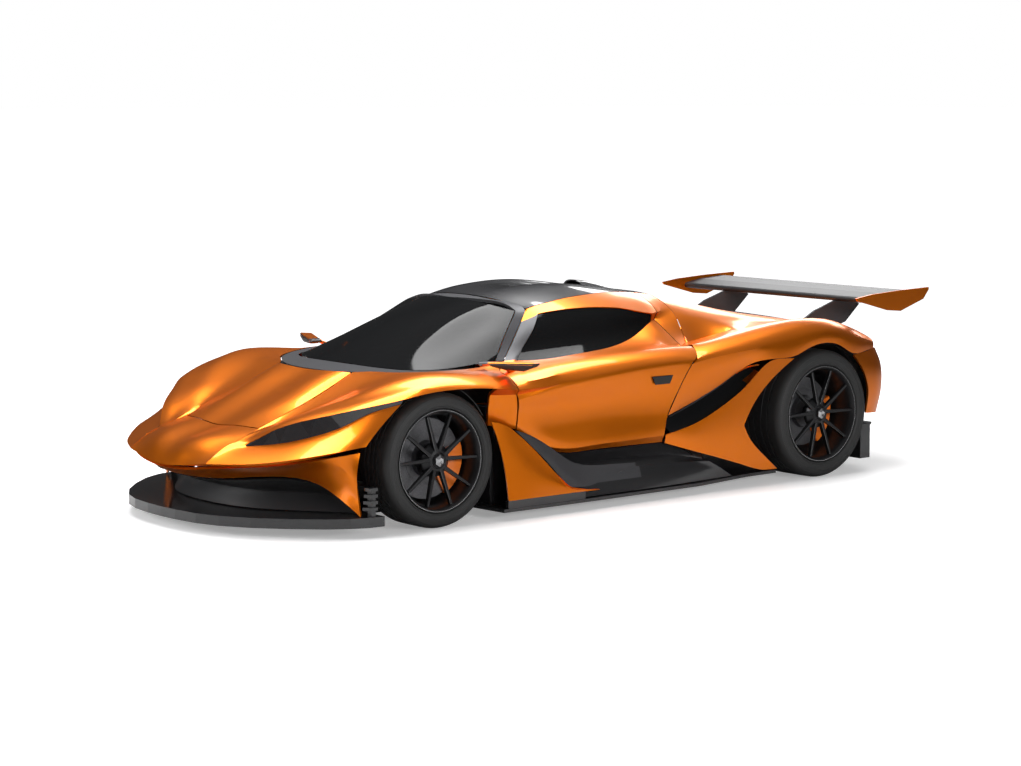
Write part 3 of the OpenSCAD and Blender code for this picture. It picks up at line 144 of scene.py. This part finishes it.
def grain_group():
    group = bpy.data.node_groups.new("fine_grain", "ShaderNodeTree")
    for name, kind in (("Scale", "NodeSocketFloat"), ("Stretch", "NodeSocketVector"),
                       ("Dark", "NodeSocketColor"), ("Light", "NodeSocketColor"),
                       ("Smooth", "NodeSocketFloat"), ("Rough", "NodeSocketFloat")):
        group.interface.new_socket(name=name, in_out="INPUT", socket_type=kind)
    for name, kind in (("Colour", "NodeSocketColor"), ("Roughness", "NodeSocketFloat"),
                       ("Height", "NodeSocketFloat")):
        group.interface.new_socket(name=name, in_out="OUTPUT", socket_type=kind)
    made = group.nodes.new
    entry, leave = made("NodeGroupInput"), made("NodeGroupOutput")
    place, stretch = made("ShaderNodeTexCoord"), made("ShaderNodeVectorMath")
    stretch.operation = "MULTIPLY"
    noise, mix, rough = made("ShaderNodeTexNoise"), made("ShaderNodeMix"), made("ShaderNodeMapRange")
    noise.inputs["Detail"].default_value = 3
    mix.data_type = "RGBA"
    tie = group.links.new
    tie(place.outputs["Object"], stretch.inputs[0])
    tie(entry.outputs["Stretch"], stretch.inputs[1])
    tie(stretch.outputs[0], noise.inputs["Vector"])
    tie(entry.outputs["Scale"], noise.inputs["Scale"])
    tie(noise.outputs["Fac"], mix.inputs[0])
    tie(entry.outputs["Dark"], mix.inputs[6])
    tie(entry.outputs["Light"], mix.inputs[7])
    tie(noise.outputs["Fac"], rough.inputs["Value"])
    tie(entry.outputs["Smooth"], rough.inputs["To Min"])
    tie(entry.outputs["Rough"], rough.inputs["To Max"])
    tie(mix.outputs[2], leave.inputs["Colour"])
    tie(rough.outputs[0], leave.inputs["Roughness"])
    tie(noise.outputs["Fac"], leave.inputs["Height"])
    return group


fine_grain = grain_group()
GRAIN_DEPTH = 0.0005


def grained(name, dark, light, roughness, scale, metallic=0.0, coat=0.0, bump=0.0, stretch=(1, 1, 1)):
    mat, shader = finish(name, light, roughness[0], metallic, coat)
    tree = mat.node_tree
    grain = tree.nodes.new("ShaderNodeGroup")
    grain.node_tree = fine_grain
    grain.inputs["Scale"].default_value = scale
    grain.inputs["Stretch"].default_value = stretch
    grain.inputs["Dark"].default_value = (*dark, 1)
    grain.inputs["Light"].default_value = (*light, 1)
    grain.inputs["Smooth"].default_value = roughness[0]
    grain.inputs["Rough"].default_value = roughness[1]
    tree.links.new(grain.outputs["Colour"], shader.inputs["Base Color"])
    tree.links.new(grain.outputs["Roughness"], shader.inputs["Roughness"])
    if bump:
        relief = tree.nodes.new("ShaderNodeBump")
        relief.inputs["Strength"].default_value = bump
        relief.inputs["Distance"].default_value = GRAIN_DEPTH
        tree.links.new(grain.outputs["Height"], relief.inputs["Height"])
        tree.links.new(relief.outputs[0], shader.inputs["Normal"])
    return mat


FLOOR_HALF = 300
floor_mat = grained("studio_floor_painted_glow", (0.82, 0.82, 0.82), (0.86, 0.86, 0.86), (0.6, 0.7), 3)
tree = floor_mat.node_tree
# Painted light and shade on the floor: for the camera it glows at 0.30 strength within 1.5 m of the middle,
# rising to full beyond 6.5 m, so the floor round the car is painted darker. Other rays see it as plain mid
# grey.
place = tree.nodes.new("ShaderNodeTexCoord")
away = tree.nodes.new("ShaderNodeVectorMath")
away.operation = "LENGTH"
painted_shade_falloff = tree.nodes.new("ShaderNodeMapRange")
painted_shade_falloff.interpolation_type = "SMOOTHSTEP"
painted_shade_falloff.inputs["From Min"].default_value = 1.5
painted_shade_falloff.inputs["From Max"].default_value = 6.5
painted_shade_falloff.inputs["To Min"].default_value = 0.30
painted_shade_falloff.inputs["To Max"].default_value = 1.0
# Painted glow of the floor, weaker near the car as painted shade.
painted_floor_glow = tree.nodes.new("ShaderNodeEmission")
both = tree.nodes.new("ShaderNodeAddShader")
dull = tree.nodes.new("ShaderNodeBsdfDiffuse")
dull.inputs["Color"].default_value = (0.42, 0.42, 0.42, 1)
seen = tree.nodes.new("ShaderNodeLightPath")
chosen = tree.nodes.new("ShaderNodeMixShader")
tree.links.new(place.outputs["Object"], away.inputs[0])
tree.links.new(away.outputs["Value"], painted_shade_falloff.inputs["Value"])
tree.links.new(painted_shade_falloff.outputs[0], painted_floor_glow.inputs["Strength"])
tree.links.new(tree.nodes["Principled BSDF"].outputs[0], both.inputs[0])
tree.links.new(painted_floor_glow.outputs[0], both.inputs[1])
tree.links.new(seen.outputs["Is Camera Ray"], chosen.inputs[0])
tree.links.new(dull.outputs[0], chosen.inputs[1])
tree.links.new(both.outputs[0], chosen.inputs[2])
tree.links.new(chosen.outputs[0], tree.nodes["Material Output"].inputs["Surface"])
bm = bmesh.new()
bmesh.ops.create_grid(bm, x_segments=8, y_segments=8, size=FLOOR_HALF)
mesh = bpy.data.meshes.new("floor")
bm.to_mesh(mesh)
bm.free()
floor = bpy.data.objects.new("floor", mesh)
floor.data.materials.append(floor_mat)
scene.collection.objects.link(floor)

# ---- Painted panels ------------------------------------------------------------
# Thin outer panels, moulded and painted a deep metallic orange under clear coat.
# Each is a smooth shell whose edges turn in at the shut lines.

orange = grained("orange_metallic", (0.93, 0.185, 0.002), (1.0, 0.25, 0.005), (0.27, 0.33), 900,
                 metallic=0.88, coat=0.35)
carbon = grained("lacquered_carbon", (0.008, 0.008, 0.009), (0.022, 0.022, 0.024), (0.25, 0.38), 420,
                 coat=1.0, stretch=(1, 0.35, 1))
satin_black = grained("satin_black", (0.012, 0.012, 0.013), (0.024, 0.024, 0.026), (0.42, 0.55), 260,
                      bump=0.15)
satin_grey = grained("satin_grey", (0.055, 0.055, 0.06), (0.085, 0.085, 0.09), (0.32, 0.45), 300,
                     metallic=0.4)


SAME_POINT = 0.00005
SHARP_CORNER = math.radians(30)


def merged_copy(node):
    bm = bmesh.new()
    bm.from_mesh(nodes[node].data)
    bmesh.ops.remove_doubles(bm, verts=bm.verts, dist=SAME_POINT)
    return bm


def smooth_shell(node, name, materials, pick=None, levels=2):
    """A rounded copy of a CAD shell: flat facets become quads and subdivide, true corners stay."""
    bm = merged_copy(node)
    bmesh.ops.join_triangles(bm, faces=bm.faces, cmp_seam=False, cmp_sharp=False, cmp_uvs=False,
                             cmp_vcols=False, cmp_materials=False, angle_face_threshold=SHARP_CORNER,
                             angle_shape_threshold=math.radians(60))
    crease = bm.edges.layers.float.new("crease_edge")
    for edge in bm.edges:
        if len(edge.link_faces) != 2 or edge.calc_face_angle(0) > SHARP_CORNER:
            edge[crease] = 1.0
            edge.smooth = False
    for face in bm.faces:
        face.smooth = True
        face.material_index = pick(face.calc_center_median(), face.normal) if pick else 0
    mesh = bpy.data.meshes.new(name)
    bm.to_mesh(mesh)
    bm.free()
    obj = bpy.data.objects.new(name, mesh)
    scene.collection.objects.link(obj)
    for mat in materials:
        mesh.materials.append(mat)
    round_off = obj.modifiers.new("round_off", "SUBSURF")
    round_off.levels = levels
    round_off.render_levels = levels
    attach(obj, nodes[node]["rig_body"])
    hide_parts(node)
    return obj


def pod_finish(c, n):
    """Orange outside, black in the duct."""
    return 0 if abs(c.y) > 0.925 else 1


for node in ("nose_panel", "bonnet", "front_wings", "rear_clamshell", "rear_bumper", "front_bumper",
             "skirt_fins", "side_pods"):
    smooth_shell(node, node + "_skin", [orange, satin_black], pod_finish if node == "side_pods" else None)


def door_finish(c, n):
    """Black under the mirror and on the hinge arms, dark grey on the band beside the window."""
    in_mirror = 0.74 < c.x < 0.98 and c.z > 0.762 and abs(c.y) > 0.795
    if in_mirror and n.z < 0.35:
        return 1
    if 0.96 < c.z < 1.03 and abs(c.y) < 0.46:
        return 1
    if 0.776 < c.z < 0.985 and c.x > 0.625 - 1.17 * (c.z - 0.767) and abs(c.y) < 0.79:
        return 2
    return 0


for side_name in ("left", "right"):
    smooth_shell(side_name + "_door", side_name + "_door_skin", [orange, satin_black, satin_grey],
                 door_finish)

# ---- Door handles --------------------------------------------------------------
# A shallow dish with sloping ends, low behind each door's window, with a black grip
# set into it. It is fixed to the door's skin.

HANDLE_TOP, HANDLE_FOOT, HANDLE_TALL = 0.150, 0.104, 0.044
HANDLE_AT = (-0.139, 0.9585, 0.642)
for side_name, sign in (("left", 1), ("right", -1)):
    bm = bmesh.new()
    made = bmesh.ops.create_grid(bm, x_segments=1, y_segments=1, size=0.5)["verts"]
    for vert in made:
        wide = HANDLE_TOP if vert.co.y > 0 else HANDLE_FOOT
        vert.co = Vector((vert.co.x * wide + HANDLE_AT[0], sign * HANDLE_AT[1],
                          HANDLE_AT[2] + vert.co.y * HANDLE_TALL))
    dish = list(bm.faces)
    bmesh.ops.inset_region(bm, faces=dish, thickness=0.003, depth=0.0)
    bmesh.ops.translate(bm, verts=list({v for f in dish for v in f.verts}), vec=(0, -sign * 0.004, 0))
    bmesh.ops.recalc_face_normals(bm, faces=bm.faces)
    for f in bm.faces:
        f.material_index = 1 if f in dish else 0
    mesh = bpy.data.meshes.new(side_name + "_handle")
    bm.to_mesh(mesh)
    bm.free()
    mesh.materials.append(orange)
    mesh.materials.append(satin_black)
    handle = bpy.data.objects.new(side_name + "_handle", mesh)
    scene.collection.objects.link(handle)
    thick = handle.modifiers.new("thick", "SOLIDIFY")
    thick.thickness = 0.003
    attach(handle, side_name + "_door")

# ---- Carbon panels -------------------------------------------------------------
# Roof, engine cover, splitter, skirts and floor are lacquered carbon fibre. The wing's
# plane is left dull, and the panels round the glass are satin grey.

for node in ("roof_panel", "engine_cover", "intake_liner", "cowl", "windscreen_frame", "tail_panel"):
    coat = {"roof_panel": carbon, "engine_cover": carbon, "cowl": satin_grey,
            "windscreen_frame": satin_grey}.get(node, satin_black)
    smooth_shell(node, node + "_skin", [coat])


def paint_node(node, mat):
    data = nodes[node].data
    data.materials.clear()
    data.materials.append(mat)


def skirt_finish(c, n):
    """Grey on the blade that rises in front, carbon elsewhere."""
    blade = 0.04 < c.x < 0.872 and 0.115 < c.z < 0.46 and abs(c.y) > 0.926
    return 1 if blade else 0


smooth_shell("skirts", "skirts_skin", [carbon, satin_grey], skirt_finish, levels=1)
for node in ("front_splitter", "diffuser", "chassis_tub"):
    paint_node(node, carbon)
dull_carbon = grained("dull_carbon", (0.004, 0.004, 0.0045), (0.010, 0.010, 0.011), (0.35, 0.5), 420,
                      stretch=(1, 0.35, 1))
paint_node("wing_plane", dull_carbon)
paint_node("wing_pylons", satin_grey)
for node in ("wheel_arch_liners", "dashboard"):
    paint_node(node, satin_black)
paint_node("wing_endplates", orange)

# ---- Glass and lamps -----------------------------------------------------------
# Dark tinted glass, nearly black from outside. The lamps' covers are black in front
# and deep red behind, with fine flutes.

tint = bpy.data.materials.new("tinted_glass")
tint.use_nodes = True
tint_shader = tint.node_tree.nodes["Principled BSDF"]
tint_shader.inputs["Base Color"].default_value = (0.02, 0.021, 0.022, 1)
tint_shader.inputs["Roughness"].default_value = 0.05
tint_shader.inputs["Transmission Weight"].default_value = 0.8
tint_shader.inputs["IOR"].default_value = 1.22
lens = grained("lamp_lens", (0.010, 0.010, 0.011), (0.035, 0.035, 0.038), (0.06, 0.12), 60, coat=1.0,
               stretch=(0.3, 1, 3))
red_lens = grained("red_lens", (0.22, 0.004, 0.004), (0.42, 0.012, 0.012), (0.10, 0.22), 90, coat=1.0,
                   bump=0.2, stretch=(1, 0.2, 3))
for node in ("windscreen", "left_door_glass", "right_door_glass"):
    smooth_shell(node, node + "_pane", [tint])
paint_node("headlights", lens)
paint_node("tail_lights", red_lens)

# ---- Wheels --------------------------------------------------------------------
# Satin black forged wheels: five pairs of thin spokes whose edges are lighter grey, part machined metal
# and part painted highlight, a machined ring at the rim and one six-sided nut. Discs turn with them,
# inside wide grooved tyres.

rim_black = grained("wheel_black", (0.014, 0.014, 0.015), (0.028, 0.028, 0.03), (0.28, 0.4), 300,
                    metallic=0.5)
machined = grained("machined_edge", (0.50, 0.50, 0.51), (0.68, 0.68, 0.69), (0.18, 0.3), 500, metallic=1.0)
rubber = grained("tyre_rubber", (0.013, 0.013, 0.013), (0.028, 0.028, 0.028), (0.55, 0.75), 160,
                 bump=0.3)
disc_mat = grained("brake_disc", (0.10, 0.10, 0.105), (0.20, 0.20, 0.21), (0.3, 0.45), 150, metallic=0.9)
caliper_paint = grained("caliper_orange", (0.80, 0.16, 0.01), (0.92, 0.22, 0.02), (0.25, 0.4), 120,
                        coat=0.6)
# Lighter grey for the spokes' edges: machined metal, and also a painted highlight along them.
spoke_edge_machined_and_highlight = grained("spoke_edge_machined_and_highlight", (0.10, 0.10, 0.10), (0.20, 0.20, 0.205), (0.2, 0.3), 300, metallic=0.9)


def spun(name, profile, centre, mat, body, steps=96):
    """Turns an outline of (sideways, radius) points about the axle."""
    bm = bmesh.new()
    verts = [bm.verts.new((0, side, radius)) for side, radius in profile]
    edges = [bm.edges.new((verts[i], verts[(i + 1) % len(verts)])) for i in range(len(verts))]
    bmesh.ops.spin(bm, geom=verts + edges, cent=(0, 0, 0), axis=(0, 1, 0), angle=math.tau, steps=steps,
                   use_merge=True, use_duplicate=False)
    bmesh.ops.remove_doubles(bm, verts=bm.verts, dist=0.00001)
    bmesh.ops.recalc_face_normals(bm, faces=bm.faces)
    for face in bm.faces:
        face.smooth = True
    for edge in bm.edges:
        edge.smooth = edge.calc_face_angle(0) < math.radians(28)
    bmesh.ops.translate(bm, verts=bm.verts, vec=centre)
    mesh = bpy.data.meshes.new(name)
    bm.to_mesh(mesh)
    bm.free()
    mesh.materials.append(mat)
    obj = bpy.data.objects.new(name, mesh)
    scene.collection.objects.link(obj)
    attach(obj, body)
    return obj


def tyre_outline(radius, half, bead, out):
    """The tyre's section: four grooves in the tread, and walls with a raised band and a rim guard."""
    tread = []
    groove, depth = 0.005, 0.007
    inner = half - 0.045
    for lane in (-0.62, -0.22, 0.22, 0.62):
        at = lane * inner
        tread += [(at - groove, radius - 0.0006), (at - groove + 0.001, radius - depth),
                  (at + groove - 0.001, radius - depth), (at + groove, radius - 0.0006)]
    wall = [(half - 0.040, radius - 0.0015), (half - 0.024, radius - 0.006), (half - 0.012, radius - 0.014),
            (half - 0.005, radius - 0.022), (half - 0.004, radius - 0.024), (half - 0.0055, radius - 0.026),
            (half - 0.001, radius - 0.038), (half, radius - 0.047), (half - 0.0015, radius - 0.049),
            (half - 0.0015, bead + 0.026), (half - 0.003, bead + 0.024), (half - 0.007, bead + 0.018),
            (half - 0.006, bead + 0.015), (half - 0.012, bead + 0.012), (half - 0.021, bead + 0.008),
            (half - 0.024, bead)]
    left = [(-y, r) for y, r in reversed(wall)]
    return [(out * y, r) for y, r in left + tread + wall]


def add_bar(bm, begin, end, foot, tip):
    """A tapered bar from begin to end; foot and tip are its (width, depth) there, depth along the axle."""
    made = bmesh.ops.create_cube(bm, size=1)["verts"]
    along = (end - begin).normalized()
    side = Vector((0, 1, 0)).cross(along).normalized()
    deep = along.cross(side)
    length = (end - begin).length
    for vert in made:
        width, depth = tip if vert.co.z > 0 else foot
        vert.co = Vector((vert.co.x * width, vert.co.y * depth, length if vert.co.z > 0 else 0))
    turn = Matrix((side, deep, along)).transposed().to_4x4()
    bmesh.ops.transform(bm, matrix=Matrix.Translation(begin) @ turn, verts=made)


for place, sign in (("front_left", 1), ("front_right", -1), ("rear_left", 1), ("rear_right", -1)):
    low_corner, high_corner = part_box(place + "_tyre")
    centre = (low_corner + high_corner) / 2
    radius = (high_corner.z - low_corner.z) / 2
    half = (high_corner.y - low_corner.y) / 2
    rim_low, rim_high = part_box(place + "_wheel")
    bead = (rim_high.z - rim_low.z) / 2 - 0.008
    body = place + "_wheel"
    rubber_ring = spun(place + "_tyre_rubber", tyre_outline(radius, half, bead, sign), centre, rubber,
                       body, steps=120)
    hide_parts(place + "_tyre")
    face = half - 0.010
    barrel = [(-half + 0.020, bead - 0.0003), (-half + 0.020, bead + 0.006), (-half + 0.012, bead + 0.006),
              (-half + 0.010, bead - 0.009), (-half + 0.050, bead - 0.021), (face - 0.040, bead - 0.021),
              (face - 0.010, bead - 0.010), (face - 0.001, bead - 0.003), (face, bead + 0.006),
              (face - 0.008, bead + 0.006), (face - 0.010, bead - 0.0003), (face - 0.024, bead - 0.0003),
              (face - 0.050, bead - 0.012), (-half + 0.054, bead - 0.012)]
    rim = spun(place + "_rim", [(sign * y, r) for y, r in barrel], centre, rim_black, body)
    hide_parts(place + "_wheel")
    lip = bead + 0.004
    ring = [(face + 0.0002, lip + 0.0006), (face + 0.0012, lip), (face + 0.0012, lip - 0.0016),
            (face - 0.001, lip - 0.0022)]
    spun(place + "_rim_edge", [(sign * y, r) for y, r in ring], centre, machined, body)
    hub = [(face - 0.062, 0.030), (face - 0.062, 0.088), (face - 0.046, 0.084), (face - 0.030, 0.062),
           (face - 0.020, 0.054), (face - 0.018, 0.042), (face - 0.026, 0.036), (face - 0.026, 0.030)]
    spun(place + "_hub", [(sign * y, r) for y, r in hub], centre, rim_black, body, steps=64)
    nut = [(face - 0.040, 0.001), (face + 0.002, 0.001), (face + 0.004, 0.016), (face - 0.004, 0.031),
           (face - 0.040, 0.034)]
    spun(place + "_centre_nut", [(sign * y, r) for y, r in nut], centre, machined, body, steps=6)
    disc_r = 0.205 if place.startswith("front") else 0.195
    disc = [(-0.027, 0.030), (0.030, 0.030), (0.030, 0.086), (0.007, 0.094), (0.007, 0.128), (0.0055, 0.129),
            (0.007, 0.130), (0.007, disc_r), (-0.027, disc_r), (-0.027, 0.120)]
    spun(place + "_brake_disc", [(sign * (y - 0.010), r) for y, r in disc], centre, disc_mat, body)
    bm = bmesh.new()
    root, reach = 0.050, bead - 0.012
    for arm in range(5):
        for lean in (-1, 1):
            inner = math.tau * arm / 5 + lean * 0.20
            outer = math.tau * arm / 5 + lean * 0.31
            begin = Vector((root * math.sin(inner), sign * (face - 0.034), root * math.cos(inner)))
            end = Vector((reach * math.sin(outer), sign * (face - 0.018), reach * math.cos(outer)))
            add_bar(bm, begin, end, (0.020, 0.030), (0.0125, 0.024))
    # Every spoke edge is bevelled in the lighter grey: machined edges that also carry a painted highlight.
    bmesh.ops.bevel(bm, geom=list(bm.edges), offset=0.0022, segments=1, affect="EDGES", profile=0.5,
                    material=1)
    bmesh.ops.recalc_face_normals(bm, faces=bm.faces)
    bmesh.ops.translate(bm, verts=bm.verts, vec=centre)
    mesh = bpy.data.meshes.new(place + "_spokes")
    bm.to_mesh(mesh)
    bm.free()
    mesh.materials.append(rim_black)
    mesh.materials.append(spoke_edge_machined_and_highlight)
    spokes = bpy.data.objects.new(place + "_spokes", mesh)
    scene.collection.objects.link(spokes)
    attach(spokes, body)

# ---- Running gear and cabin ----------------------------------------------------
# Cast alloy uprights, arms and hub carriers, with painted brake calipers behind the
# axles. The tail pipes are titanium, and seats and steering wheel are black leather.

cast = grained("cast_alloy", (0.16, 0.16, 0.17), (0.26, 0.26, 0.27), (0.35, 0.55), 220, metallic=0.8)
paint_node("engine", cast)
front_hub = (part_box("front_left_tyre")[0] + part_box("front_left_tyre")[1]) / 2
rear_hub = (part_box("rear_left_tyre")[0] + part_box("rear_left_tyre")[1]) / 2


def brake_finish(c, n):
    """Painted where the caliper grips the disc, bare metal elsewhere."""
    hub = front_hub if c.x > 0 else rear_hub
    across = math.hypot(c.x - hub.x, c.z - hub.z)
    return 1 if across > 0.115 and abs(c.y) > hub.y - 0.09 and c.x < hub.x - 0.03 else 0


for node in ("left_front_upright", "right_front_upright", "suspension"):
    smooth_shell(node, node + "_parts", [cast, caliper_paint], brake_finish, levels=0)
titanium = grained("heat_tinted_titanium", (0.22, 0.19, 0.18), (0.40, 0.37, 0.36), (0.22, 0.4), 90,
                   metallic=1.0)
leather = grained("black_leather", (0.012, 0.012, 0.013), (0.030, 0.030, 0.032), (0.5, 0.7), 140,
                  bump=0.5)
paint_node("exhaust", titanium)
for node in ("seats", "steering_wheel"):
    paint_node(node, leather)
